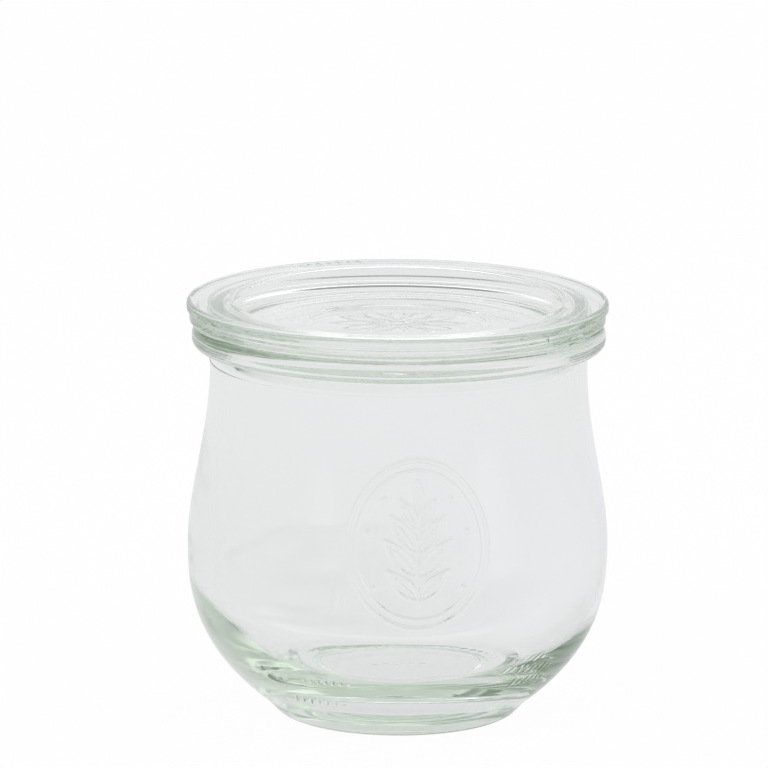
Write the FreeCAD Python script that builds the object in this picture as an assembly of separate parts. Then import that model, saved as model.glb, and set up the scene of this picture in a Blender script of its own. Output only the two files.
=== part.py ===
"""Glass preserving jar of tulip form, with its loose glass lid.

Millimetres, +Z up. The origin is at the centre of the ring that the jar stands on. Both pieces are
bodies of revolution about Z, so each one is an outline of radius and height, turned once round. The
lid rests on the jar's flat rim with a narrow seat, its raised outer edge hangs clear of the bead, and
its plug centres it in the mouth.
"""
import FreeCAD, Part
import math
import os

# ---- jar: driving dimensions ----
JAR_HEIGHT = 84.4          # standing ring to the flat of the rim
BELLY_DIAMETER = 90.2      # the widest part of the bowl
BELLY_HEIGHT = 37.3
BOWL_FULLNESS = 2.66       # exponent of the bowl's outer curve: higher is fuller
SHOULDER_BIAS = 0.88       # below 1, the shoulder draws in soon after the belly
HEEL_DIAMETER = 56.8       # where the bowl's curve meets the foot
FOOT_HEIGHT = 3.2
FOOT_INSET = 3.0           # how far the foot's lower corner lies inside the heel, before rounding
FOOT_ROUNDING = 3.0
NECK_DIAMETER = 80.6
NECK_LENGTH = 3.6          # straight part between the shoulder's curve and the bead
WALL = 3.4                 # side wall, from the belly up to the rim
FLOOR_HEIGHT = 6.9         # standing ring to the inside of the floor
FLOOR_DIAMETER = 31.2      # flat part of the floor inside
INNER_FULLNESS = 2.8       # exponent of the inner bowl's drop: higher is fuller near the belly
INNER_SPREAD = 1.6         # exponent of the inner bowl's reach: lower is slimmer near the floor

# the hollow under the base, which leaves the standing ring
STAND_RING_WIDTH = 3.8
BASE_HOLLOW_DEPTH = 1.8
BASE_HOLLOW_SLOPE = 2.4    # radial width of the hollow's slanted edge

# the round bead at the rim
BEAD_PROJECTION = 3.9      # how far the bead stands out from the neck
BEAD_HEIGHT = 4.3
BEAD_TOP_ROUNDING = 1.9
BEAD_BOTTOM_ROUNDING = 1.4
BEAD_NECK_FILLET = 0.8
MOUTH_ROUNDING = 1.2

# ---- lid: driving dimensions ----
LID_LIP_OVERHANG = 0.85    # how far the lip, the lid's widest edge, reaches beyond the bead
LID_BAND_OVERHANG = 0.25   # how far the band under the lip reaches beyond the bead
LID_THICKNESS = 5.6        # seat to top ring
LID_SEAT_WIDTH = 3.1       # the flat seat, from the line of the mouth outwards
LID_EDGE_RAISE = 0.9       # how far the band's lower edge lies above the seat
LID_EDGE_STEP = 0.4        # radial width of the slope from the seat to the raised edge
LID_EDGE_ROUNDING = 0.5
LID_LIP_HEIGHT = 2.1       # the lip, from the groove under it to the top ring
LID_GROOVE_DEPTH = 0.35    # the shallow groove between band and lip
LID_GROOVE_WIDTH = 0.4
LID_TOP_ROUNDING = 1.0
LID_DISH_WALL = 3.0        # glass between the plug's side and the foot of the dish
LID_DISH_DEPTH = 5.5
LID_DISH_SLOPE = 2.7       # radial width of the dish's slanted side
LID_DISH_ROUNDING = 1.3
LID_PLATE = 4.4            # thickness of the glass under the dish
PLUG_CLEARANCE = 1.2       # radial gap between the plug and the mouth
PLUG_TAPER = 0.8           # how much narrower the plug is at its bottom
PLUG_ROUNDING = 1.0
LID_SIDE_SHIFT = -0.3      # the loose lid lies this far off centre, within its clearance

CURVE_STATIONS = 14        # points that each formula gives to its spline


def point(radius, height):
    """A point of an outline, in the half plane of revolution."""
    return FreeCAD.Vector(radius, 0, height)


def rounded_corner(before, corner, after, radius):
    """The arc that rounds a corner between two straight runs, and its two tangent points."""
    towards = (before - corner).normalize()
    away = (after - corner).normalize()
    half_angle = towards.getAngle(away) / 2
    reach = radius / math.tan(half_angle)
    start = corner + towards * reach
    end = corner + away * reach
    bisector = (towards + away).normalize()
    centre = corner + bisector * (radius / math.sin(half_angle))
    middle = centre - bisector * radius
    return Part.Arc(start, middle, end).toShape(), start, end


def rounded_run(corners):
    """Edges through a list of (radius, height, rounding) corners, each rounded as it says."""
    points = [point(radius, height) for radius, height, _ in corners]
    edges = []
    last = points[0]
    for index in range(1, len(corners) - 1):
        rounding = corners[index][2]
        if rounding > 0:
            arc, start, end = rounded_corner(last, points[index], points[index + 1], rounding)
            edges.append(Part.LineSegment(last, start).toShape())
            edges.append(arc)
            last = end
        else:
            edges.append(Part.LineSegment(last, points[index]).toShape())
            last = points[index]
    edges.append(Part.LineSegment(last, points[-1]).toShape())
    return edges


def curve_edge(radius_at, start_height, end_height):
    """One spline edge along a formula that gives the radius at each height."""
    step = (end_height - start_height) / (CURVE_STATIONS - 1)
    stations = []
    for index in range(CURVE_STATIONS):
        height = start_height + index * step
        stations.append(point(radius_at(height), height))
    spline = Part.BSplineCurve()
    spline.interpolate(stations)
    return spline.toShape()


def turned(edges):
    """The solid that a closed outline makes when it is turned once round Z."""
    wire = Part.Wire(Part.__sortEdges__(edges))
    solid = Part.Face(wire).revolve(FreeCAD.Vector(0, 0, 0), FreeCAD.Vector(0, 0, 1), 360)
    if solid.Volume < 0:
        solid.reverse()
    return solid


def bowl_radius(height):
    """Outer radius of the bowl below the belly: a power curve, upright at the belly."""
    drop = (BELLY_HEIGHT - height) / (BELLY_HEIGHT - FOOT_HEIGHT)
    return HEEL_DIAMETER / 2 + (BELLY_DIAMETER - HEEL_DIAMETER) / 2 * (1 - drop ** BOWL_FULLNESS)


def shoulder_radius(height, inset=0.0):
    """Radius between belly and neck: half a cosine wave, upright at both ends."""
    rise = (height - BELLY_HEIGHT) / (neck_height() - BELLY_HEIGHT)
    swing = (1 + math.cos(math.pi * rise ** SHOULDER_BIAS)) / 2
    return NECK_DIAMETER / 2 + (BELLY_DIAMETER - NECK_DIAMETER) / 2 * swing - inset


def neck_height():
    """Where the shoulder's curve ends in the straight neck, just below the bead."""
    return bead_bottom() - NECK_LENGTH


def bead_bottom():
    """Height of the bead's lower face."""
    return JAR_HEIGHT - BEAD_HEIGHT


def mouth_radius():
    """Inner radius of the neck and the mouth."""
    return NECK_DIAMETER / 2 - WALL


def bead_radius():
    """Outer radius of the bead at the rim."""
    return NECK_DIAMETER / 2 + BEAD_PROJECTION


def foot_radius():
    """Radius of the foot's lower corner, before it is rounded."""
    return HEEL_DIAMETER / 2 - FOOT_INSET


def jar_outer_edges():
    """Outline of the jar's outside, from the foot's lower corner to the flat of the rim."""
    heel = (HEEL_DIAMETER / 2, FOOT_HEIGHT)
    foot = rounded_run([
        (foot_radius() - STAND_RING_WIDTH, 0, 0),
        (foot_radius(), 0, FOOT_ROUNDING),
        (heel[0], heel[1], 0),
    ])
    bowl = curve_edge(bowl_radius, FOOT_HEIGHT, BELLY_HEIGHT)
    shoulder = curve_edge(shoulder_radius, BELLY_HEIGHT, neck_height())
    bead = rounded_run([
        (NECK_DIAMETER / 2, neck_height(), 0),
        (NECK_DIAMETER / 2, bead_bottom(), BEAD_NECK_FILLET),
        (bead_radius(), bead_bottom(), BEAD_BOTTOM_ROUNDING),
        (bead_radius(), JAR_HEIGHT, BEAD_TOP_ROUNDING),
        (mouth_radius(), JAR_HEIGHT, MOUTH_ROUNDING),
        (mouth_radius(), neck_height(), 0),
    ])
    return foot + [bowl, shoulder] + bead


def inner_bowl_point(angle):
    """A point of the inner bowl: a quarter of an uneven oval, from the floor (0) to the belly (90)."""
    floor_radius = FLOOR_DIAMETER / 2
    reach = BELLY_DIAMETER / 2 - WALL - floor_radius
    outwards = math.sin(angle) ** (2 / INNER_SPREAD)
    drop = max(0.0, math.cos(angle)) ** (2 / INNER_FULLNESS)
    return point(floor_radius + reach * outwards, BELLY_HEIGHT - (BELLY_HEIGHT - FLOOR_HEIGHT) * drop)


def inner_bowl_edge():
    """The inner bowl as one spline, level where it leaves the floor and upright at the belly."""
    stations = []
    for index in range(CURVE_STATIONS):
        stations.append(inner_bowl_point(math.pi / 2 * index / (CURVE_STATIONS - 1)))
    spline = Part.BSplineCurve()
    spline.interpolate(
        Points=stations,
        InitialTangent=FreeCAD.Vector(1, 0, 0),
        FinalTangent=FreeCAD.Vector(0, 0, 1),
    )
    return spline.toShape()


def jar_inner_edges():
    """Outline of the hollow: from the neck down the wall, round the bowl and over the floor."""
    wall = curve_edge(lambda height: shoulder_radius(height, WALL), BELLY_HEIGHT, neck_height())
    floor = Part.LineSegment(point(FLOOR_DIAMETER / 2, FLOOR_HEIGHT), point(0, FLOOR_HEIGHT))
    return [wall, inner_bowl_edge(), floor.toShape()]


def jar_base_edges():
    """Outline from the floor down the axis and under the base to the standing ring."""
    ring_inner = foot_radius() - STAND_RING_WIDTH
    axis = Part.LineSegment(point(0, FLOOR_HEIGHT), point(0, BASE_HOLLOW_DEPTH)).toShape()
    under = rounded_run([
        (0, BASE_HOLLOW_DEPTH, 0),
        (ring_inner - BASE_HOLLOW_SLOPE, BASE_HOLLOW_DEPTH, BASE_HOLLOW_DEPTH / 2),
        (ring_inner, 0, 0),
    ])
    return [axis] + under


def make_jar():
    """The jar: one solid of glass, open at the top."""
    return turned(jar_outer_edges() + jar_inner_edges() + jar_base_edges())


def make_lid():
    """The lid: a flat ring with a dished centre on top, a stepped seat and a centring plug below."""
    seat = JAR_HEIGHT
    top = seat + LID_THICKNESS
    lip = bead_radius() + LID_LIP_OVERHANG
    band = bead_radius() + LID_BAND_OVERHANG
    band_bottom = seat + LID_EDGE_RAISE
    lip_bottom = top - LID_LIP_HEIGHT
    band_top = lip_bottom - LID_GROOVE_WIDTH
    seat_edge = mouth_radius() + LID_SEAT_WIDTH
    plug = mouth_radius() - PLUG_CLEARANCE
    dish_foot = plug - LID_DISH_WALL
    dish_floor = top - LID_DISH_DEPTH
    plug_bottom = dish_floor - LID_PLATE
    outline = rounded_run([
        (0, plug_bottom, 0),
        (plug - PLUG_TAPER, plug_bottom, PLUG_ROUNDING),
        (plug, seat, 0),
        (seat_edge, seat, 0),
        (seat_edge + LID_EDGE_STEP, band_bottom, 0),
        (band, band_bottom, LID_EDGE_ROUNDING),
        (band, band_top, LID_GROOVE_DEPTH),
        (band - LID_GROOVE_DEPTH, (band_top + lip_bottom) / 2, 0),
        (lip, lip_bottom, LID_GROOVE_DEPTH),
        (lip, top, LID_TOP_ROUNDING),
        (dish_foot + LID_DISH_SLOPE, top, LID_DISH_ROUNDING),
        (dish_foot, dish_floor, LID_DISH_ROUNDING),
        (0, dish_floor, 0),
    ])
    axis = Part.LineSegment(point(0, dish_floor), point(0, plug_bottom)).toShape()
    lid = turned(outline + [axis])
    lid.translate(FreeCAD.Vector(LID_SIDE_SHIFT, 0, 0))
    return lid


def main():
    """Build both pieces and write one STEP file for each."""
    os.makedirs("parts", exist_ok=True)
    pieces = {"jar": make_jar(), "lid": make_lid()}
    for name, solid in pieces.items():
        solid.exportStep(f"parts/{name}.step")
        print(f"{name}: {solid.ShapeType}, valid {solid.isValid()}, {solid.Volume / 1000:.1f} cm3")


main()
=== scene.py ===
"""Looks of a glass preserving jar of tulip form, with its loose glass lid.

Both pieces are lathe meshes with their raised ornament as real relief, in clear pressed glass with
a faint green body tint. Sizes are millimetres, unless their name or comment says metres, until a
mesh is made. The frame's units are metres.
"""

import logging
import math
from dataclasses import dataclass, field
from typing import Callable, Sequence

import bmesh
import bpy
import numpy as np
from mathutils import Matrix, Vector


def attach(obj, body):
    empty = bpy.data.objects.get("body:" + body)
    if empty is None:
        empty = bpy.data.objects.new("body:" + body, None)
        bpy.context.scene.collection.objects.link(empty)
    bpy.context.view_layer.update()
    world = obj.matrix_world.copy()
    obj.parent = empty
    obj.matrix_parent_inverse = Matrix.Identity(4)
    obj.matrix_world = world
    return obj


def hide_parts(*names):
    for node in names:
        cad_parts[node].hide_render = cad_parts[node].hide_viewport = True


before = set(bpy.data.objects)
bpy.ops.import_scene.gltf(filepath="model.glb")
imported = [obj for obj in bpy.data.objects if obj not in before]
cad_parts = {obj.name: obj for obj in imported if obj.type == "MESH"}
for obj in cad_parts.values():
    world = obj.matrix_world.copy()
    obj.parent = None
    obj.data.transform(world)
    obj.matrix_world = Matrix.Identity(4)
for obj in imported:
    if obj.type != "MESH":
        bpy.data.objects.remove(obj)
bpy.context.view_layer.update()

MM = 0.001
WHITE = "#FFFFFF"
FRONT = -math.pi / 2           # the azimuth that faces the viewer, -Y
LOG = logging.getLogger("jar")

Profile = list[tuple[float, float]]


# ---------------------------------------------------------------- small helpers


def linear(hex_colour: str) -> tuple[float, float, float, float]:
    """Turn an sRGB hex colour into the linear colour that shaders take.

    Args:
        hex_colour: six hex digits with a leading #.

    Returns:
        Red, green, blue and an alpha of 1.
    """
    channels = []
    for start in (1, 3, 5):
        value = int(hex_colour[start:start + 2], 16) / 255
        channels.append(value / 12.92 if value <= 0.04045 else ((value + 0.055) / 1.055) ** 2.4)
    return channels[0], channels[1], channels[2], 1.0


def add_node(
    tree: bpy.types.NodeTree,
    kind: str,
    settings: dict[str, object] | None = None,
    values: dict[str | int, object] | None = None,
    links: dict[str | int, bpy.types.NodeSocket] | None = None,
) -> bpy.types.Node:
    """Add one node with its settings, socket values and incoming links.

    Args:
        tree: the node tree that takes it.
        kind: the node's type name.
        settings: attributes of the node itself.
        values: numbers and colours for its own input sockets.
        links: output sockets to join to its input sockets.

    Returns:
        The new node.
    """
    node = tree.nodes.new(kind)
    for name, value in (settings or {}).items():
        setattr(node, name, value)
    for name, value in (values or {}).items():
        node.inputs[name].default_value = value
    for name, source in (links or {}).items():
        tree.links.new(source, node.inputs[name])
    return node


def ridge(distance: np.ndarray, half_width: float, flank: float = 0.36) -> np.ndarray:
    """A flat-topped ridge with steep flanks, as a cut mould leaves it.

    Args:
        distance: how far each point is from the ridge's centre line.
        half_width: where the ridge meets the plain surface.
        flank: width of each sloping side.

    Returns:
        The ridge's height as a share of its full height.
    """
    inside = np.clip((half_width - np.abs(distance)) / min(flank, half_width), 0, 1)
    return inside * inside * (3 - 2 * inside)


def smooth(value: np.ndarray, low: float, high: float) -> np.ndarray:
    """0 below low, 1 above high, and a soft step between them."""
    share = np.clip((value - low) / (high - low), 0, 1)
    return share * share * (3 - 2 * share)


def stations(start: float, end: float, step: float) -> list[float]:
    """Even stations from start to end, both included, at most step apart."""
    count = max(1, math.ceil(abs(end - start) / step))
    return [start + (end - start) * index / count for index in range(count + 1)]


# ---------------------------------------------------------------- outlines


@dataclass
class Outline:
    """A lathe outline of (radius, height) points, drawn from run to run."""

    step: float = 1.2
    arc_step: float = math.radians(9)
    near: tuple[float, ...] = (0.12, 0.4, 0.8)      # places of the extra points by each rounding
    points: Profile = field(default_factory=list)

    def add(self, radius: float, height: float) -> None:
        """Add one point, unless it repeats the last one."""
        if not self.points or math.dist(self.points[-1], (radius, height)) > 1e-4:
            self.points.append((radius, height))

    def straight(self, end: tuple[float, float]) -> None:
        """Run straight to a point, closer at both ends so that the roundings stay crisp."""
        start = self.points[-1]
        length = math.dist(start, end)
        reach = self.near[-1]
        near = [place for place in self.near if place < length / 2 - 0.1]
        even = stations(reach, length - reach, self.step)
        places = near + [place for place in even if reach + 0.1 < place < length - reach - 0.1]
        places += [length - place for place in reversed(near)]
        for place in places:
            share = place / length
            self.add(start[0] + (end[0] - start[0]) * share, start[1] + (end[1] - start[1]) * share)
        self.add(*end)

    def corners(self, corners: Sequence[tuple[float, float, float]]) -> None:
        """Run through corners, each rounded with its own radius.

        Args:
            corners: (radius, height, rounding) of each corner. The first and last aren't rounded.
        """
        self.add(corners[0][0], corners[0][1])
        for index in range(1, len(corners) - 1):
            before = Vector(self.points[-1])
            corner = Vector(corners[index][:2])
            after = Vector(corners[index + 1][:2])
            rounding = corners[index][2]
            towards = (before - corner).normalized()
            away = (after - corner).normalized()
            half_angle = towards.angle(away) / 2
            reach = rounding / math.tan(half_angle)
            centre = corner + (towards + away).normalized() * (rounding / math.sin(half_angle))
            self.straight(tuple(corner + towards * reach))
            self.arc(centre, corner + towards * reach, corner + away * reach)
        self.straight(corners[-1][:2])

    def arc(self, centre: Vector, start: Vector, end: Vector) -> None:
        """Follow the shorter arc round a centre from start to end."""
        first = math.atan2(start.y - centre.y, start.x - centre.x)
        turn = math.atan2(end.y - centre.y, end.x - centre.x) - first
        turn = (turn + math.pi) % (2 * math.pi) - math.pi
        radius = (start - centre).length
        for angle in stations(first, first + turn, self.arc_step):
            self.add(centre.x + radius * math.cos(angle), centre.y + radius * math.sin(angle))

    def curve(self, radius_at: Callable[[float], float], heights: Sequence[float]) -> None:
        """Follow a formula that gives the radius at each height."""
        for height in heights:
            self.add(radius_at(height), height)


# ---------------------------------------------------------------- finishes


@dataclass(frozen=True)
class PressedGlass:
    """Soda-lime glass, pressed in a mould and fire-polished.

    It looks clear and bright face on. The iron in it shows as a soft green only where light runs a
    long way through it, and the mould leaves slow waves that bend what is seen behind.
    """

    name: str
    tint: str = "#A2C29A"            # colour left after one absorption length
    absorption_per_m: float = 8.6
    ior: float = 1.52
    roughness: float = 0.0
    wave_mm: float = 16.0            # width of the slow waves
    wave_height_mm: float = 0.012
    streak_mm: float = 3.0           # width of the upright draw streaks
    streak_height_mm: float = 0.003

    def material(self) -> bpy.types.Material:
        """Build the node material.

        Returns:
            The finished material.
        """
        material = bpy.data.materials.new(self.name)
        material.use_nodes = True
        tree = material.node_tree
        tree.nodes.clear()
        place = add_node(tree, "ShaderNodeTexCoord").outputs["Object"]
        waves = add_node(
            tree, "ShaderNodeTexNoise",
            values={"Scale": 1 / (self.wave_mm * MM), "Detail": 1.0, "Roughness": 0.4},
            links={"Vector": place},
        )
        stretch = add_node(
            tree, "ShaderNodeMapping",
            values={"Scale": (1.0, 1.0, 0.12)},
            links={"Vector": place},
        )
        streaks = add_node(
            tree, "ShaderNodeTexNoise",
            values={"Scale": 1 / (self.streak_mm * MM), "Detail": 2.0, "Roughness": 0.5},
            links={"Vector": stretch.outputs["Vector"]},
        )
        slow = add_node(
            tree, "ShaderNodeBump",
            values={"Strength": 1.0, "Distance": self.wave_height_mm * MM},
            links={"Height": waves.outputs["Fac"]},
        )
        fine = add_node(
            tree, "ShaderNodeBump",
            values={"Strength": 1.0, "Distance": self.streak_height_mm * MM},
            links={"Height": streaks.outputs["Fac"], "Normal": slow.outputs["Normal"]},
        )
        surface = add_node(
            tree, "ShaderNodeBsdfPrincipled",
            values={
                "Base Color": linear(WHITE),
                "Roughness": self.roughness,
                "IOR": self.ior,
                "Transmission Weight": 1.0,
            },
            links={"Normal": fine.outputs["Normal"]},
        )
        body = add_node(
            tree, "ShaderNodeVolumeAbsorption",
            values={"Color": linear(self.tint), "Density": self.absorption_per_m},
        )
        add_node(
            tree, "ShaderNodeOutputMaterial",
            links={"Surface": surface.outputs["BSDF"], "Volume": body.outputs["Volume"]},
        )
        return material


@dataclass(frozen=True)
class SeamlessPaper:
    """Matt white paper sweep under and behind the object: pale, without gloss and even, except for
    a painted shade under the object that the glass sees.
    """

    name: str = "matt white seamless paper"
    colour: str = "#F4F4F4"
    glow_to_camera: float = 0.97     # share of plain white that bare eyes see
    glow_to_glass: float = 0.97      # share of the studio's own tone that glass sees
    tone_in_glass: str = "#ECECEE"   # that tone: a little darker than white, and a trace cool
    glow_under_foot: float = 0.86    # that share under the object: painted shade, where less light arrives
    foot_edge_mm: tuple[float, float] = (20.0, 34.0)    # where that painted shade ends

    def material(self) -> bpy.types.Material:
        """Build the node material.

        Returns:
            The finished material.
        """
        material = bpy.data.materials.new(self.name)
        material.use_nodes = True
        tree = material.node_tree
        tree.nodes.clear()
        path = add_node(tree, "ShaderNodeLightPath")
        through = add_node(
            tree, "ShaderNodeMath", {"operation": "MAXIMUM"},
            links={0: path.outputs["Is Glossy Ray"], 1: path.outputs["Is Transmission Ray"]},
        )
        # painted shade: the paper that glass sees grows darker towards the object's foot, by
        # distance from the middle
        place = add_node(tree, "ShaderNodeTexCoord").outputs["Object"]
        reach = add_node(tree, "ShaderNodeVectorMath", {"operation": "LENGTH"}, links={0: place})
        shade = add_node(
            tree, "ShaderNodeMapRange", {"interpolation_type": "SMOOTHSTEP"},
            values={
                "From Min": self.foot_edge_mm[0] * MM,
                "From Max": self.foot_edge_mm[1] * MM,
                "To Min": self.glow_under_foot,
                "To Max": self.glow_to_glass,
            },
            links={"Value": reach.outputs["Value"]},
        )
        glass_share = add_node(
            tree, "ShaderNodeMath", {"operation": "MULTIPLY"},
            links={0: through.outputs[0], 1: shade.outputs["Result"]},
        )
        camera_share = add_node(
            tree, "ShaderNodeMath", {"operation": "MULTIPLY"},
            values={1: self.glow_to_camera}, links={0: path.outputs["Is Camera Ray"]},
        )
        share = add_node(
            tree, "ShaderNodeMath", {"operation": "MAXIMUM"},
            links={0: glass_share.outputs[0], 1: camera_share.outputs[0]},
        )
        paper = add_node(
            tree, "ShaderNodeBsdfDiffuse",
            values={"Color": linear(self.colour), "Roughness": 0.6},
        )
        tone = add_node(
            tree, "ShaderNodeMix", {"data_type": "RGBA"},
            values={6: linear(self.tone_in_glass), 7: linear(WHITE)},
            links={"Factor": path.outputs["Is Camera Ray"]},
        )
        white = add_node(
            tree, "ShaderNodeEmission",
            values={"Strength": 1.0}, links={"Color": tone.outputs[2]},
        )
        mix = add_node(
            tree, "ShaderNodeMixShader",
            links={0: share.outputs[0], 1: paper.outputs["BSDF"], 2: white.outputs["Emission"]},
        )
        add_node(tree, "ShaderNodeOutputMaterial", links={"Surface": mix.outputs["Shader"]})
        return material


# ---------------------------------------------------------------- raised ornament


@dataclass(frozen=True)
class Sprig:
    """An oval medallion with an upright leafy sprig: a plain traditional ornament."""

    half_width: float = 15.2
    half_height: float = 17.6
    line: float = 0.6                # half width of the ridges
    inner_oval: float = 0.885        # size of the inner ring, as a share of the outer one
    inner_line: float = 0.42         # half width of that ring
    berry_radius: float = 0.75
    berries: tuple[tuple[float, float], ...] = ((9.4, -9.0), (10.6, 2.6), (7.4, 9.4))
    height: float = 0.7              # how far the ridges stand out
    stem: tuple[float, float] = (-13.0, 7.0)        # where the stem starts and ends
    leaf_fullness: float = 0.17      # a leaf's half width, as a share of its length
    rib: tuple[float, float] = (0.14, 0.74)         # where its midrib starts and ends
    top_leaf: tuple[float, float] = (6.0, 7.4)      # the upright leaf: foot and length
    tiers: tuple[tuple[float, float, float], ...] = (
        (-11.4, 9.0, 44.0),
        (-6.4, 10.2, 47.0),
        (-1.4, 9.4, 52.0),
        (3.4, 7.0, 58.0),
    )                                # each pair of leaves: foot, length, slope in degrees

    def oval(self, across: np.ndarray, up: np.ndarray, share: float, line: float) -> np.ndarray:
        """The ridge of one oval ring, at a share of the medallion's size."""
        wide = self.half_width * share
        tall = self.half_height * share
        reach = np.hypot(across / wide, up / tall)
        slope = np.hypot(across / wide ** 2, up / tall ** 2) / np.maximum(reach, 1e-6)
        return ridge((reach - 1) / np.maximum(slope, 1e-6), line)

    def leaf(
        self, across: np.ndarray, up: np.ndarray, foot: float, angle: float, length: float
    ) -> np.ndarray:
        """One outlined leaf with a midrib, pointing out from its foot on the middle line.

        Args:
            across: sideways place of each point.
            up: upright place of each point.
            foot: height at which the leaf starts.
            angle: the way it points, from level.
            length: from foot to tip.

        Returns:
            The leaf's ridges as a share of full height.
        """
        along = across * math.cos(angle) + (up - foot) * math.sin(angle)
        aside = (up - foot) * math.cos(angle) - across * math.sin(angle)
        share = np.clip(along / length, 0, 1)
        half = self.leaf_fullness * length * np.sin(math.pi * share ** 0.85)
        within = (along > -0.3) & (along < length + 0.3)
        rim = ridge(np.abs(aside) - half, self.line * 0.8)
        rib = ridge(aside, self.line * 0.6) * (share > self.rib[0]) * (share < self.rib[1]) * 0.8
        return np.where(within, np.maximum(rim, rib), 0)

    def relief(self, across: np.ndarray, up: np.ndarray) -> np.ndarray:
        """How far the surface stands out at each place, in millimetres."""
        inner = self.oval(across, up, self.inner_oval, self.inner_line) * 0.8
        rings = np.maximum(self.oval(across, up, 1.0, self.line), inner)
        stem = ridge(across - 0.4 * np.sin(up * 0.28), self.line * 0.85)
        ridges = np.where((up > self.stem[0]) & (up < self.stem[1]), stem, 0)
        for foot, length, slope in self.tiers:
            for side in (slope, 180 - slope):
                leaf = self.leaf(across, up, foot, math.radians(side), length)
                ridges = np.maximum(ridges, leaf)
        foot, length = self.top_leaf
        ridges = np.maximum(ridges, self.leaf(across, up, foot, math.pi / 2, length))
        for side in (-1, 1):
            for berry, level in self.berries:
                spot = np.hypot(across - side * berry, up - level)
                ridges = np.maximum(ridges, ridge(spot, self.berry_radius))
        return np.maximum(rings, ridges) * self.height


@dataclass(frozen=True)
class Tally:
    """Short rows of slanted bars with a dot at the end: a plain mould mark."""

    turn: float                      # azimuth of its middle
    middle: float                    # height of its middle
    bars: int = 6
    pitch: float = 1.9
    length: float = 2.4
    slant: float = 0.35
    rows: int = 1
    row_pitch: float = 3.4
    line: float = 0.34
    flank: float = 0.2
    shorter: float = 0.25            # how much shorter every second bar is, as a share
    dot_radius: float = 0.6
    dot_flank: float = 0.35
    height: float = 0.24

    def half_span(self) -> float:
        """Half the length of a row, with its dot and a little room."""
        return (self.bars / 2 + 0.7) * self.pitch

    def relief(self, across: np.ndarray, up: np.ndarray) -> np.ndarray:
        """How far the surface stands out at each place, in millimetres."""
        ridges = np.zeros_like(across)
        for row in range(self.rows):
            level = up - (row - (self.rows - 1) / 2) * self.row_pitch
            for bar in range(self.bars):
                aside = across - (bar - self.bars / 2) * self.pitch - self.slant * level
                reach = self.length / 2 * (1 - self.shorter * (bar % 2))
                mark = ridge(aside, self.line, self.flank) * ridge(level, reach)
                ridges = np.maximum(ridges, mark)
            dot = np.hypot(across - self.bars / 2 * self.pitch, level + 0.3)
            ridges = np.maximum(ridges, ridge(dot, self.dot_radius, self.dot_flank))
        return ridges * self.height


@dataclass(frozen=True)
class Rosette:
    """A ring of petals inside two plain rings, for the dished middle of the lid."""

    petals: int = 12
    reach: float = 14.0
    ring: float = 19.4
    outer_ring_gap: float = 1.8
    heart: float = 2.0               # radius of the little ring at the middle
    petal_start: float = 3.2
    petal_half_width: float = 2.2
    line: float = 0.5
    height: float = 0.11

    def relief(self, across: np.ndarray, along: np.ndarray) -> np.ndarray:
        """How far the surface stands out at each place, in millimetres."""
        radius = np.hypot(across, along)
        turn = np.arctan2(along, across) * self.petals / (2 * math.pi)
        aside = (turn - np.round(turn)) * 2 * math.pi / self.petals * radius
        share = np.clip((radius - self.petal_start) / (self.reach - self.petal_start), 0, 1)
        half = self.petal_half_width * np.sin(math.pi * share) * share ** 0.3
        petals = ridge(np.abs(aside) - half, self.line)
        petals = np.where((radius > 3.0) & (radius < self.reach + 0.3), petals, 0)
        ridges = np.maximum(petals, ridge(radius - self.ring, self.line))
        outer = ridge(radius - self.ring - self.outer_ring_gap, self.line * 0.7) * 0.7
        ridges = np.maximum(ridges, outer)
        ridges = np.maximum(ridges, ridge(radius - self.heart, self.line))
        return ridges * self.height


# ---------------------------------------------------------------- lathe meshes


@dataclass(frozen=True)
class Patch:
    """A part of a lathe mesh that carries fine ornament, so it gets a finer net."""

    rows: tuple[int, int]            # first and last ring
    turns: tuple[float, float]       # first and last azimuth


@dataclass(frozen=True)
class Seed:
    """A seed: one tiny round air bubble shut in the glass."""

    place: tuple[float, float, float]
    radius: float

    def shell(self) -> tuple[np.ndarray, list[tuple[int, ...]]]:
        """The bubble's vertices, and its faces turned to face into it."""
        body = bmesh.new()
        bmesh.ops.create_icosphere(body, subdivisions=2, radius=self.radius)
        body.verts.index_update()
        vertices = np.array([vertex.co[:] for vertex in body.verts]) + self.place
        faces = [tuple(vertex.index for vertex in reversed(face.verts)) for face in body.faces]
        body.free()
        return vertices, faces


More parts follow.
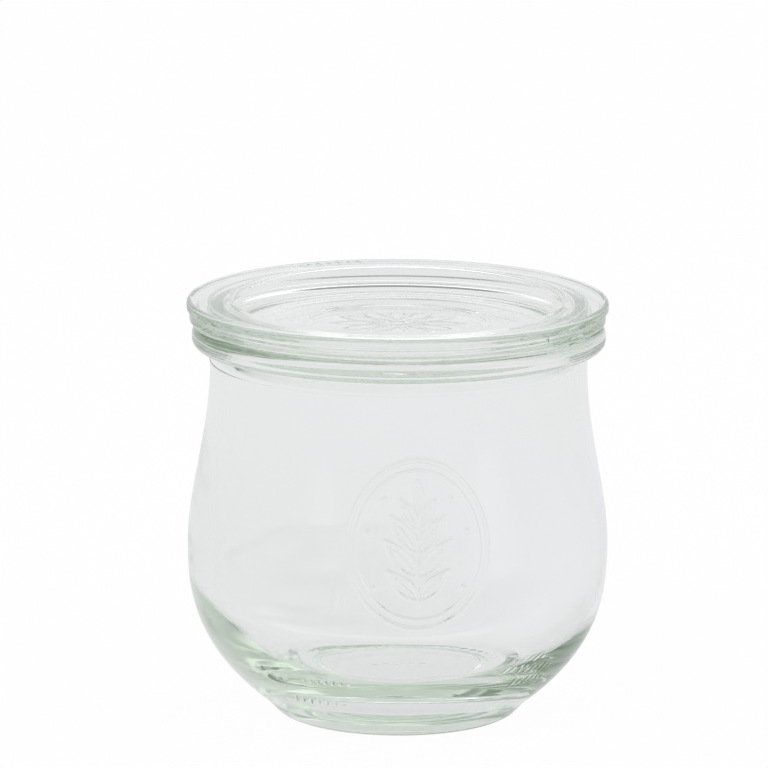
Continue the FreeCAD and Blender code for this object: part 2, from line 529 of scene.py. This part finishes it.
@dataclass
class Lathe:
    """Turns an outline once round Z, with any relief pushed out along the surface."""

    name: str
    outline: Profile
    columns: int = 200
    patches: Sequence[Patch] = ()
    split: int = 6                   # how many times finer a patch is
    seeds: Sequence[Seed] = ()

    def __post_init__(self) -> None:
        """Measure the outline: its rings, their places along it and its tangents."""
        self.flat = np.array([point for point in self.outline if point[0] > 1e-6])
        self.run = np.concatenate([[0], np.cumsum(np.hypot(*np.diff(self.flat, axis=0).T))])
        tangent = np.gradient(self.flat, self.run, axis=0)
        self.tangent = tangent / np.linalg.norm(tangent, axis=1)[:, None]

    def along(self, row: np.ndarray) -> tuple[np.ndarray, np.ndarray, np.ndarray]:
        """The outline between its rings, as one smooth curve.

        Args:
            row: ring numbers, with parts of a ring between two.

        Returns:
            Points, unit tangents and places along the outline.
        """
        low = np.minimum(row.astype(int), len(self.flat) - 2)
        part = (row - low)[:, None]
        reach = (self.run[low + 1] - self.run[low])[:, None]
        curve = (2 * part ** 3 - 3 * part ** 2 + 1) * self.flat[low]
        curve += (part ** 3 - 2 * part ** 2 + part) * reach * self.tangent[low]
        curve += (3 * part ** 2 - 2 * part ** 3) * self.flat[low + 1]
        curve += (part ** 3 - part ** 2) * reach * self.tangent[low + 1]
        tangent = self.tangent[low] * (1 - part) + self.tangent[low + 1] * part
        tangent /= np.linalg.norm(tangent, axis=1)[:, None]
        return curve, tangent, self.run[low] + part[:, 0] * reach[:, 0]

    def net(self) -> tuple[list[tuple[int, int]], list[tuple[int, ...]]]:
        """The net of the mesh, in steps of a fine cell.

        Returns:
            The (row, column) of each vertex, and the faces as vertex numbers.
        """
        split = self.split
        step = 2 * math.pi / self.columns
        fine = set()
        for patch in self.patches:
            first = math.floor(patch.turns[0] / step)
            last = math.ceil(patch.turns[1] / step)
            fine |= {(row, column % self.columns)
                     for row in range(*patch.rows) for column in range(first, last)}
        number: dict[tuple[int, int], int] = {}
        around = self.columns * split
        for row in range(len(self.flat)):
            for column in range(self.columns):
                number.setdefault((row * split, column * split), len(number))
        for row, column in sorted(fine):
            for a in range(split + 1):
                for b in range(split + 1):
                    number.setdefault((row * split + a, (column * split + b) % around), len(number))
        faces = []
        for row in range(len(self.flat) - 1):
            for column in range(self.columns):
                size = 1 if (row, column) in fine else split
                for a in range(row * split, (row + 1) * split, size):
                    for b in range(column * split, (column + 1) * split, size):
                        edge = [(a, b + i) for i in range(size)]
                        edge += [(a + i, b + size) for i in range(size)]
                        edge += [(a + size, b + size - i) for i in range(size)]
                        edge += [(a + size - i, b) for i in range(size)]
                        keys = [(a_, b_ % around) for a_, b_ in edge]
                        faces.append(tuple(number[key] for key in keys if key in number))
        return list(number), faces

    def build(
        self,
        push: Callable[[np.ndarray, np.ndarray, np.ndarray], np.ndarray],
        shift: Callable[[np.ndarray, np.ndarray, np.ndarray, np.ndarray], np.ndarray],
    ) -> bpy.types.Object:
        """Make the mesh object.

        Args:
            push: gives the relief in millimetres from azimuth, height and place along the outline.
            shift: gives how far each place lies off the turned shape, as (x, y) in millimetres,
                from azimuth, radius, height and place along the outline.

        Returns:
            The new object, linked to the scene.
        """
        keys, faces = self.net()
        spots = np.array(keys, dtype=float) / self.split
        turn = spots[:, 1] * 2 * math.pi / self.columns
        turn = (turn + math.pi) % (2 * math.pi) - math.pi
        curve, tangent, run = self.along(spots[:, 0])
        out = push(turn, curve[:, 1], run)
        radius = curve[:, 0] + tangent[:, 1] * out
        height = curve[:, 1] - tangent[:, 0] * out
        places = np.stack([radius * np.cos(turn), radius * np.sin(turn), height], axis=-1)
        aside = shift(turn, radius, curve[:, 1], run)
        places[:, :2] += aside
        last = (len(self.flat) - 1) * self.columns
        for ring, end in ((0, 0), (last, -1)):
            middle = aside[ring:ring + self.columns].mean(axis=0)
            pole = len(places)
            places = np.vstack([places, (middle[0], middle[1], self.outline[end][1])])
            for column in range(self.columns):
                pair = (ring + (column + 1) % self.columns, ring + column)
                faces.append((pole, *(pair if end == 0 else pair[::-1])))
        for seed in self.seeds:
            vertices, shell = seed.shell()
            faces += [tuple(len(places) + index for index in face) for face in shell]
            places = np.vstack([places, vertices])
        mesh = bpy.data.meshes.new(self.name)
        mesh.from_pydata(places * MM, [], faces)
        mesh.validate()
        mesh.shade_smooth()
        piece = bpy.data.objects.new(self.name, mesh)
        bpy.context.scene.collection.objects.link(piece)
        return piece

    def rows_between(self, low: float, high: float) -> tuple[int, int]:
        """The first and last ring that enclose a span of heights on the way up the outside."""
        rising = [row for row in range(len(self.flat)) if self.tangent[row][1] > 0.2]
        rows = [row for row in rising if low < self.flat[row][1] < high]
        return rows[0] - 1, rows[-1] + 1


# ---------------------------------------------------------------- the jar


@dataclass
class Jar:
    """The hollow glass body: bowl, shoulder, neck, bead and foot."""

    height: float = 84.4
    belly_radius: float = 45.1
    belly_height: float = 37.3
    bowl_fullness: float = 2.66
    shoulder_bias: float = 0.88
    heel_radius: float = 28.4
    foot_height: float = 3.2
    foot_radius: float = 25.4
    foot_rounding: float = 3.0
    neck_radius: float = 40.3
    neck_length: float = 3.6
    wall: float = 3.4
    floor_height: float = 6.9
    floor_radius: float = 15.6
    inner_fullness: float = 2.8
    inner_spread: float = 1.6
    thick_side: float = 2.1          # how far the hollow lies to the right low down
    thick_front: float = 0.5         # how far it lies to the back, above the bowl's lower part
    thick_upper: float = 0.7         # how much farther to the back it lies near the neck
    thick_back: float = 0.8          # how far it lies to the front in the lower part
    oval: float = 0.9                # how far the lower part is out of round
    side_fade_start: float = 25.0    # height above which the hollow comes back from the right
    lower_end: tuple[float, float] = (26.0, 32.0)       # where the lower part gives way
    upper_start: tuple[float, float] = (34.0, 46.0)     # where the lean near the neck comes in
    ring_width: float = 3.8
    hollow_depth: float = 1.8
    hollow_slope: float = 2.4
    bead_radius: float = 44.2
    bead_height: float = 4.3
    bead_top_rounding: float = 1.9
    bead_bottom_rounding: float = 1.4
    bead_neck_fillet: float = 0.8
    mouth_rounding: float = 1.2
    parting_height: float = 76.8
    parting_ridge: float = 0.2
    parting_line: float = 0.22       # half width of the parting line
    parting_faint: float = math.radians(120)        # how far round from the front it all but fades
    dimples: int = 5                 # a zigzag row of dimples under the base
    dimple_pitch: float = 2.6
    dimple_zigzag: float = 1.1
    dimple_place: float = 1.5        # how far the row lies in front of the axis
    dimple_radius: float = 0.7
    dimple_flank: float = 0.45
    dimple_depth: float = 0.12
    stipple_inset: float = 1.2
    stipple_notches: int = 50
    stipple_line: float = 0.9        # half width of the stippled band
    stipple_swing: float = 0.05      # half the depth of a notch
    waves: tuple[tuple[int, float, float, float], ...] = (
        (3, 0.11, 0.0, 0.06),
        (7, -0.23, 1.7, 0.03),
        (11, 0.31, 0.4, 0.014),
    )                                # each slow wave inside: how many round, climb, phase, height
    wave_fade: float = 12.0          # height over which the waves come in
    net_margin: float = 0.8          # how far the finer net reaches past the medallion
    medallion_turn: float = math.radians(5.4)
    medallion_height: float = 46.0
    medallion: Sprig = Sprig()
    tallies: tuple[Tally, ...] = (
        Tally(math.radians(-118), 9.0, height=0.28),
        Tally(math.radians(-44), 14.5, bars=5, rows=2, slant=0.5, height=0.13),
    )
    seeds: tuple[Seed, ...] = (
        Seed((-36.9, -16.6, 22.4), 0.16),
        Seed((-22.3, -30.8, 17.6), 0.14),
        Seed((-12.3, 38.8, 82.6), 0.18),
        Seed((9.5, -41.8, 82.3), 0.17),
        Seed((-3.6, -42.4, 82.2), 0.16),
        Seed((29.7, -32.4, 31.0), 0.13),
        Seed((33.6, -22.2, 62.0), 0.12),
    )
    glass: PressedGlass = PressedGlass("clear pressed soda-lime glass, jar")

    def bead_bottom(self) -> float:
        """Height of the bead's lower face."""
        return self.height - self.bead_height

    def neck_height(self) -> float:
        """Where the shoulder ends in the straight neck."""
        return self.bead_bottom() - self.neck_length

    def bowl(self, height: float) -> float:
        """Outer radius below the belly."""
        drop = (self.belly_height - height) / (self.belly_height - self.foot_height)
        swell = self.belly_radius - self.heel_radius
        return self.heel_radius + swell * (1 - drop ** self.bowl_fullness)

    def shoulder(self, height: float) -> float:
        """Outer radius between belly and neck."""
        rise = (height - self.belly_height) / (self.neck_height() - self.belly_height)
        swing = (1 + math.cos(math.pi * max(0.0, rise) ** self.shoulder_bias)) / 2
        return self.neck_radius + (self.belly_radius - self.neck_radius) * swing

    def inner_bowl(self) -> Profile:
        """The inner bowl from the belly down to the floor."""
        reach = self.belly_radius - self.wall - self.floor_radius
        depth = self.belly_height - self.floor_height
        points = []
        for angle in stations(math.pi / 2, 0, math.radians(2.5)):
            outwards = math.sin(angle) ** (2 / self.inner_spread)
            drop = max(0.0, math.cos(angle)) ** (2 / self.inner_fullness)
            points.append((self.floor_radius + reach * outwards, self.belly_height - depth * drop))
        return points

    def outline(self) -> Profile:
        """The whole outline, from under the base, up the outside and down the inside to the floor.

        Returns:
            Points of radius and height.
        """
        ring_inner = self.foot_radius - self.ring_width
        mouth = self.neck_radius - self.wall
        line = Outline()
        for radius in stations(0.0, 7.2, 0.3):
            line.add(radius, self.hollow_depth)
        line.corners([
            (7.5, self.hollow_depth, 0.0),
            (ring_inner - self.hollow_slope, self.hollow_depth, self.hollow_depth / 2),
            (ring_inner, 0.0, 0.5),
            (self.foot_radius, 0.0, self.foot_rounding),
            (self.heel_radius, self.foot_height, 0.6),
            (self.bowl(self.foot_height + 1.2), self.foot_height + 1.2, 0.0),
        ])
        line.curve(self.bowl, stations(self.foot_height + 1.2, 16.0, 0.8))
        line.curve(self.bowl, stations(16.0, self.belly_height, 1.15))
        line.curve(self.shoulder, stations(self.belly_height, self.neck_height(), 1.15))
        line.curve(lambda _: self.neck_radius,
                   stations(self.neck_height(), self.parting_height + 0.4, 0.1))
        line.corners([
            (self.neck_radius, self.parting_height + 0.5, 0.0),
            (self.neck_radius, self.bead_bottom(), self.bead_neck_fillet),
            (self.bead_radius, self.bead_bottom(), self.bead_bottom_rounding),
            (self.bead_radius, self.height, self.bead_top_rounding),
            (mouth, self.height, self.mouth_rounding),
            (mouth, self.neck_height(), 0.0),
        ])
        line.curve(lambda height: self.shoulder(height) - self.wall,
                   stations(self.neck_height(), self.belly_height, 1.25))
        for radius, height in self.inner_bowl():
            line.add(radius, height)
        line.straight((0.0, self.floor_height))
        return line.points

    def relief(
        self, turn: np.ndarray, height: np.ndarray, run: np.ndarray, outside: float
    ) -> np.ndarray:
        """Relief of the whole jar: the medallion and the parting line outside, slow waves inside.

        Args:
            turn: azimuth of each vertex.
            height: its height.
            run: its place along the outline.
            outside: the run at which the outline passes the rim.

        Returns:
            How far each vertex stands out, in millimetres.
        """
        on_outside = (run < outside) & (height > self.foot_height)
        marks = self.medallion.relief(
            self.arc_from(turn, FRONT + self.medallion_turn, self.belly_radius),
            height - self.medallion_height,
        )
        for tally in self.tallies:
            radius = self.bowl(tally.middle)
            slope = math.hypot(1, (self.bowl(tally.middle + 0.5) - self.bowl(tally.middle - 0.5)))
            marks = np.maximum(marks, tally.relief(
                self.arc_from(turn, tally.turn, radius), (height - tally.middle) * slope
            ))
        fade = 0.55 - 0.45 * np.cos(turn - FRONT - self.parting_faint)
        seam = ridge(height - self.parting_height, self.parting_line) * self.parting_ridge * fade
        out = np.where(on_outside, np.maximum(marks, seam), 0)
        for place in range(self.dimples):
            across = run * np.cos(turn) + (self.dimples // 2 - place) * self.dimple_pitch
            along = run * np.sin(turn) + self.dimple_place - self.dimple_zigzag * (place % 2)
            dimple = ridge(np.hypot(across, along), self.dimple_radius, self.dimple_flank)
            out -= np.where(run < 12, dimple * self.dimple_depth, 0)
        stipple = ridge(run - self.stipple_run(), self.stipple_line, 0.5) * self.stipple_swing
        stipple *= np.cos(self.stipple_notches * turn) - 1
        out += np.where(run < self.stipple_run() + 1, stipple, 0)
        waves = sum(size * np.sin(count * turn + climb * height + phase)
                    for count, climb, phase, size in self.waves)
        waves += np.sin(19 * turn + 2 * np.sin(height * 0.37)) * np.sin(height * 0.29 + 1.1) * 0.006
        middle = np.clip((height - self.floor_height) / self.wave_fade, 0, 1)
        middle *= np.clip((self.neck_height() - height) / self.wave_fade, 0, 1)
        return out + np.where(run > outside, waves * middle, 0)

    def arc_from(self, turn: np.ndarray, centre: float, radius: float) -> np.ndarray:
        """How far round each azimuth lies from a centre azimuth, in millimetres at a radius."""
        return ((turn - centre + math.pi) % (2 * math.pi) - math.pi) * radius

    def stipple_run(self) -> float:
        """Place along the outline of the stippled band on the standing ring."""
        return self.foot_radius - self.stipple_inset

    def lean(
        self, turn: np.ndarray, radius: np.ndarray, height: np.ndarray, run: np.ndarray,
        outside: float,
    ) -> np.ndarray:
        """How far the hollow strays from true, as glass settles to one side and out of round.

        Args:
            turn: azimuth of each vertex.
            radius: its distance from the axis.
            height: its height.
            run: its place along the outline.
            outside: the run at which the outline passes the rim.

        Returns:
            The (x, y) offset of each vertex, in millimetres: none on the outside.
        """
        right = self.thick_side * (1 - smooth(height, self.side_fade_start, self.neck_height()))
        upper = smooth(height, *self.lower_end)
        back = self.thick_front * upper + self.thick_upper * smooth(height, *self.upper_start)
        back *= 1 - smooth(height, self.neck_height(), self.bead_bottom())
        back -= self.thick_back * (1 - upper)
        oval = self.oval * (1 - upper) * np.sin(2 * turn)
        oval *= np.clip(radius / self.floor_radius, 0, 1)
        offset = np.stack([right + oval * np.cos(turn), back + oval * np.sin(turn)], axis=-1)
        return np.where((run > outside)[..., None], offset, 0)

    def build(self) -> bpy.types.Object:
        """Build and dress the jar.

        Returns:
            The jar's object, riding on the root body.
        """
        lathe = Lathe("glass_jar", self.outline(), seeds=self.seeds)
        rim = float(lathe.run[np.argmax(lathe.flat[:, 1] - 1e-3 * lathe.flat[:, 0])])
        half_angle = (self.medallion.half_width + self.net_margin) / self.belly_radius
        middle = FRONT + self.medallion_turn
        tall = self.medallion.half_height + self.net_margin
        patches = [Patch(
            lathe.rows_between(self.medallion_height - tall, self.medallion_height + tall),
            (middle - half_angle, middle + half_angle),
        )]
        for tally in self.tallies:
            half = tally.half_span() / self.bowl(tally.middle)
            tall = tally.length / 2 + (tally.rows - 1) * tally.row_pitch / 2
            rows = lathe.rows_between(tally.middle - tall, tally.middle + tall)
            patches.append(Patch(rows, (tally.turn - half, tally.turn + half)))
        lathe.patches = patches
        piece = lathe.build(
            lambda turn, height, place: self.relief(turn, height, place, rim),
            lambda turn, radius, height, place: self.lean(turn, radius, height, place, rim),
        )
        piece.data.materials.append(self.glass.material())
        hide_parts("jar")
        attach(piece, "root")
        return piece


# ---------------------------------------------------------------- the lid


@dataclass
class Lid:
    """The loose lid: a flat ring round a dished centre, with a centring plug below."""

    seat: float = Jar.height
    seat_gap: float = 0.05           # air that pressed glass leaves where it rests on glass
    thickness: float = 5.6
    lip_radius: float = 45.05
    band_radius: float = 44.45
    edge_raise: float = 0.9          # the band's lower edge stands clear of the jar's rim
    seat_radius: float = 40.0
    seat_rounding: float = 0.3
    band_height: float = 2.2
    groove_depth: float = 0.35
    lip_height: float = 1.1
    top_rounding: float = 1.0
    edge_rounding: float = 0.5
    dish_radius: float = 35.4
    dish_depth: float = 5.5
    dish_slope: float = 2.7
    dish_rounding: float = 1.3
    plate: float = 4.4
    plug_radius: float = 35.7
    plug_taper: float = 0.8
    plug_rounding: float = 1.0
    side_shift: float = -0.3         # it was set down a little to the left
    net_margin: float = 4.0          # how far the fine net reaches past the rosette's ring
    net_middle: float = 0.4          # radius of that net's smallest ring
    net_step: float = 0.34
    wave_drop: float = 0.5           # the slow waves start this far below the seat
    rosette: Rosette = Rosette()
    dashes: Tally = Tally(
        math.radians(111.5), 41.2, bars=6, pitch=2.3, length=1.8, slant=0.5, height=0.3
    )
    seeds: tuple[Seed, ...] = (
        Seed((30.6, -30.1, 86.9), 0.32),
        Seed((33.2, -27.4, 87.2), 0.28),
        Seed((-34.2, -26.4, 86.6), 0.2),
        Seed((-20.0, 37.6, 88.2), 0.16),
        Seed((12.6, 24.8, 82.4), 0.15),
        Seed((-8.5, -12.6, 82.0), 0.13),
    )
    glass: PressedGlass = PressedGlass("clear pressed soda-lime glass, lid", absorption_per_m=5.5)

    def outline(self) -> Profile:
        """The whole outline, from under the plug, round the rim and over the dish.

        Returns:
            Points of radius and height.
        """
        top = self.seat + self.thickness
        seat = self.seat + self.seat_gap
        edge = self.seat + self.edge_raise
        band_top = edge + self.band_height
        lip_bottom = top - self.top_rounding - self.lip_height
        floor = top - self.dish_depth
        bottom = floor - self.plate
        net_edge = self.rosette.ring + self.net_margin
        line = Outline()
        line.corners([
            (0.0, bottom, 0.0),
            (self.plug_radius - self.plug_taper, bottom, self.plug_rounding),
            (self.plug_radius, seat, self.seat_rounding),
            (self.seat_radius, seat, self.seat_rounding),
            (self.seat_radius + 0.4, edge, self.seat_rounding),
            (self.band_radius, edge, self.edge_rounding),
            (self.band_radius, band_top, self.groove_depth),
            (self.band_radius - self.groove_depth, (band_top + lip_bottom) / 2, 0.05),
            (self.lip_radius, lip_bottom, self.groove_depth),
            (self.lip_radius, top, self.top_rounding),
            (self.dish_radius, top, self.dish_rounding),
            (self.dish_radius - self.dish_slope, floor, self.dish_rounding),
            (net_edge, floor, 0.5),
        ])
        for radius in stations(net_edge, self.net_middle, self.net_step):
            line.add(radius, floor)
        line.add(0.0, floor)
        return line.points

    def relief(self, turn: np.ndarray, height: np.ndarray, run: np.ndarray) -> np.ndarray:
        """Relief of the lid: the rosette in the dish, and slow waves over the rest.

        Args:
            turn: azimuth of each vertex.
            height: its height.
            run: its place along the outline.

        Returns:
            How far each vertex stands out, in millimetres.
        """
        radius = run.max() - run + self.net_middle
        petals = self.rosette.relief(radius * np.cos(turn), radius * np.sin(turn))
        out = np.where(radius < self.rosette.ring + self.net_margin - 0.5, petals, 0)
        radius = self.lip_radius - (run - self.ring_run())
        on_ring = (run > self.ring_run() + 1) & (radius > self.dish_radius + 1)
        arc = (turn - self.dashes.turn) * self.dashes.middle
        out += np.where(on_ring, self.dashes.relief(arc, radius - self.dashes.middle), 0)
        grooves = 0.006 * np.sin(2 * math.pi * radius / 1.9)
        grooves += 0.004 * np.sin(2 * math.pi * radius / 1.3 + turn)
        out += np.where(on_ring, grooves, 0)
        waves = np.sin(2 * turn + 0.6) * 0.03 + np.sin(5 * turn + run * 0.4) * 0.02
        return out + np.where(height < self.seat - self.wave_drop, waves, 0)

    def ring_run(self) -> float:
        """Place along the outline where the lip's rounding would meet the top ring as a corner."""
        flat = np.array(self.outline())
        run = np.concatenate([[0], np.cumsum(np.hypot(*np.diff(flat, axis=0).T))])
        start = np.argmax(flat[:, 1] >= self.seat + self.thickness - 1e-6)
        return float(run[start] - (self.lip_radius - flat[start, 0]))

    def build(self) -> bpy.types.Object:
        """Build and dress the lid.

        Returns:
            The lid's object, riding on the root body.
        """
        lathe = Lathe("glass_lid", self.outline(), columns=300, seeds=self.seeds)
        half = self.dashes.half_span() / self.dashes.middle
        start = self.ring_run() + self.lip_radius - self.dashes.middle
        tall = self.dashes.length / 2 + 0.9
        rows = [row for row in range(len(lathe.run)) if abs(lathe.run[row] - start) < tall]
        turns = (self.dashes.turn - half, self.dashes.turn + half)
        lathe.patches = [Patch((rows[0], rows[-1]), turns)]
        piece = lathe.build(
            self.relief,
            lambda turn, *_: np.stack([np.full_like(turn, self.side_shift), 0 * turn], axis=-1),
        )
        piece.data.materials.append(self.glass.material())
        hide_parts("lid")
        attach(piece, "root")
        return piece


# ---------------------------------------------------------------- the studio


@dataclass
class Studio:
    """A white sweep of paper, an even pale surround, two soft lamps and the camera."""

    paper: SeamlessPaper = SeamlessPaper()
    floor_radius_m: float = 3.0
    camera_distance: float = 1403.5
    camera_tilt: float = math.radians(11.892)
    camera_roll: float = math.radians(0.33)
    aim: tuple[float, float, float] = (-3.12, 0.0, 71.18)
    lens_mm: float = 307.63
    sensor_mm: float = 36.0
    bounces: int = 160               # light cut short inside thick glass would leave it black
    front_tone: float = 0.42         # the room in front of the glass, against 1 behind and below
    pale_sides: tuple[tuple[tuple[float, float, float], tuple[float, float]], ...] = (
        ((0.0, 1.0, -0.15), (-0.4, 0.5)),
        ((0.0, 0.0, -1.0), (-0.6, 0.02)),
    )                                # behind and below: direction, and where the tone turns
    soft_boxes: tuple[tuple[tuple[float, float, float], tuple[float, float], float], ...] = (
        ((-0.68, -0.68, 0.27), (0.965, 0.995), 0.4),
        ((0.78, -0.58, 0.25), (0.965, 0.995), 0.4),
        ((0.58, 0.25, 0.77), (0.86, 0.985), 0.8),
        ((-0.56, 0.30, 0.77), (0.86, 0.985), 0.4),
        ((0.0, 0.35, 0.94), (0.88, 0.97), 0.8),
    )                                # each soft box: direction, edges and strength
    lamps: tuple[tuple[str, tuple[float, float, float], float, float], ...] = (
        ("soft lamp left", (-1.1, -0.9, 1.3), 1.0, 6.0),
        ("soft lamp right", (1.2, -0.5, 1.1), 0.8, 4.0),
    )                                # each lamp: name, place and side in metres, watts
    lamp_aim: tuple[float, float, float] = (0.0, 0.0, 50.0)

    def floor(self) -> None:
        """Lay the round floor that the jar stands on."""
        mesh = bpy.data.meshes.new("studio_floor")
        count = 96
        edge = [
            (self.floor_radius_m * math.cos(2 * math.pi * i / count),
             self.floor_radius_m * math.sin(2 * math.pi * i / count), 0.0)
            for i in range(count)
        ]
        mesh.from_pydata(edge, [], [tuple(range(count))])
        floor = bpy.data.objects.new("studio_floor", mesh)
        bpy.context.scene.collection.objects.link(floor)
        mesh.materials.append(self.paper.material())

    def lobe(
        self, tree: bpy.types.NodeTree, way: bpy.types.NodeSocket,
        towards: tuple[float, float, float], edges: tuple[float, float],
        tones: tuple[float, float],
    ) -> bpy.types.NodeSocket:
        """A soft change of tone towards one direction of the surround.

        Args:
            tree: the world's node tree.
            way: the direction of each ray.
            towards: the lobe's own direction.
            edges: how far towards it the change begins and ends, from -1 to 1.
            tones: the tone before and after.

        Returns:
            The tone for each ray.
        """
        aim = Vector(towards).normalized()
        facing = add_node(
            tree, "ShaderNodeVectorMath", {"operation": "DOT_PRODUCT"},
            values={1: tuple(aim)}, links={0: way},
        )
        change = add_node(
            tree, "ShaderNodeMapRange", {"interpolation_type": "SMOOTHSTEP"},
            values={
                "From Min": edges[0], "From Max": edges[1],
                "To Min": tones[0], "To Max": tones[1],
            },
            links={"Value": facing.outputs["Value"]},
        )
        return change.outputs["Result"]

    def surround(self) -> None:
        """Set the surround: pale behind and below, darker in front, with soft boxes round it."""
        world = bpy.data.worlds.new("studio_surround")
        bpy.context.scene.world = world
        world.use_nodes = True
        tree = world.node_tree
        tree.nodes.clear()
        way = add_node(tree, "ShaderNodeTexCoord").outputs["Generated"]
        behind, below = (self.lobe(tree, way, towards, edges, (self.front_tone, 1.0))
                         for towards, edges in self.pale_sides)
        tone = add_node(
            tree, "ShaderNodeMath", {"operation": "MAXIMUM"}, links={0: behind, 1: below},
        ).outputs[0]
        for towards, edges, strength in self.soft_boxes:
            glow = self.lobe(tree, way, towards, edges, (0.0, strength))
            tone = add_node(
                tree, "ShaderNodeMath", {"operation": "ADD"}, links={0: tone, 1: glow},
            ).outputs[0]
        path = add_node(tree, "ShaderNodeLightPath")
        strength = add_node(
            tree, "ShaderNodeMix", values={"B": 1.0},
            links={"Factor": path.outputs["Is Camera Ray"], "A": tone},
        )
        colour = add_node(
            tree, "ShaderNodeMix", {"data_type": "RGBA"},
            values={6: linear(self.paper.tone_in_glass), 7: linear(WHITE)},
            links={"Factor": path.outputs["Is Camera Ray"]},
        )
        shell = add_node(
            tree, "ShaderNodeBackground",
            links={"Strength": strength.outputs["Result"], "Color": colour.outputs[2]},
        )
        add_node(tree, "ShaderNodeOutputWorld", links={"Surface": shell.outputs["Background"]})

    def lamp(self, name: str, place: tuple[float, float, float], size: float, watts: float) -> None:
        """Hang one soft square lamp that faces the jar.

        Args:
            name: the lamp's name.
            place: where it hangs, in metres.
            size: its side, in metres.
            watts: its power.
        """
        data = bpy.data.lights.new(name, "AREA")
        data.shape = "SQUARE"
        data.size = size
        data.energy = watts
        lamp = bpy.data.objects.new(name, data)
        lamp.location = place
        aim = Vector(self.lamp_aim) * MM - Vector(place)
        lamp.rotation_euler = aim.to_track_quat("-Z", "Y").to_euler()
        lamp.visible_glossy = False
        lamp.visible_transmission = False
        bpy.context.scene.collection.objects.link(lamp)

    def camera(self) -> None:
        """Set the camera, looking slightly down and with a trace of roll."""
        data = bpy.data.cameras.new("camera")
        data.sensor_width = self.sensor_mm
        data.lens = self.lens_mm
        data.clip_end = 20.0
        camera = bpy.data.objects.new("camera", data)
        aim = Vector(self.aim) * MM
        back = Vector((0, -math.cos(self.camera_tilt), math.sin(self.camera_tilt)))
        camera.location = aim + back * self.camera_distance * MM
        rotation = (-back).to_track_quat("-Z", "Y").to_matrix()
        roll = Matrix.Rotation(self.camera_roll, 3, back)
        camera.rotation_euler = (roll @ rotation).to_euler()
        bpy.context.scene.collection.objects.link(camera)
        bpy.context.scene.camera = camera

    def build(self) -> None:
        """Set the whole studio."""
        self.floor()
        self.surround()
        for name, place, size, watts in self.lamps:
            self.lamp(name, place, size, watts)
        self.camera()
        scene = bpy.context.scene
        scene.view_settings.view_transform = "Standard"
        scene.cycles.max_bounces = self.bounces
        scene.cycles.transmission_bounces = self.bounces
        scene.cycles.glossy_bounces = self.bounces


def main() -> None:
    """Build the studio and the pieces in order, and report each piece's face count."""
    logging.basicConfig(level=logging.INFO, format="%(name)s: %(message)s")
    Studio().build()
    for maker in (Jar(), Lid()):
        piece = maker.build()
        LOG.info("%s: %d faces", piece.name, len(piece.data.polygons))


if __name__ == "__main__":
    main()
